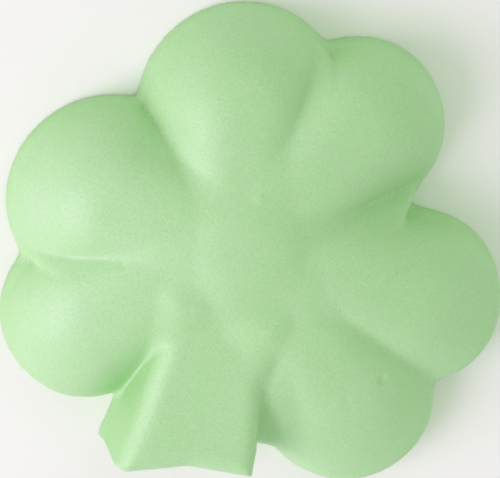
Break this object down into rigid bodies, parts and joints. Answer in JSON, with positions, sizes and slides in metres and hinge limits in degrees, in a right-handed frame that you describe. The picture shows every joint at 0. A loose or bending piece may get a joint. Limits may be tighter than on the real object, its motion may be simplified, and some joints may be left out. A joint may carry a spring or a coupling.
{
  "type": "moulded foam shamrock",
  "caption": "Solid moulded foam shamrock with rounded twin-lobed leaves, a short flared stem, a pillowed front and a flat back to rest on.",
  "frame": {"origin": "centre of the bounding box in plan, on the flat back", "axes": "+X across the side leaves to the right seen from the front, +Y along the top leaf away from the stem, +Z from the flat back out of the pillowed front"},
  "size_m": [0.086, 0.078, 0.022],
  "materials": {
    "foam": "fine closed-cell flexible foam, pale green, matte",
    "skin": "soft satin skin, pale pastel green, very fine pebbled grain"
  },
  "bodies": {
    "root": {"foam_core": "foam", "front_skin": "skin", "back_skin": "skin"}
  },
  "joints": []
}
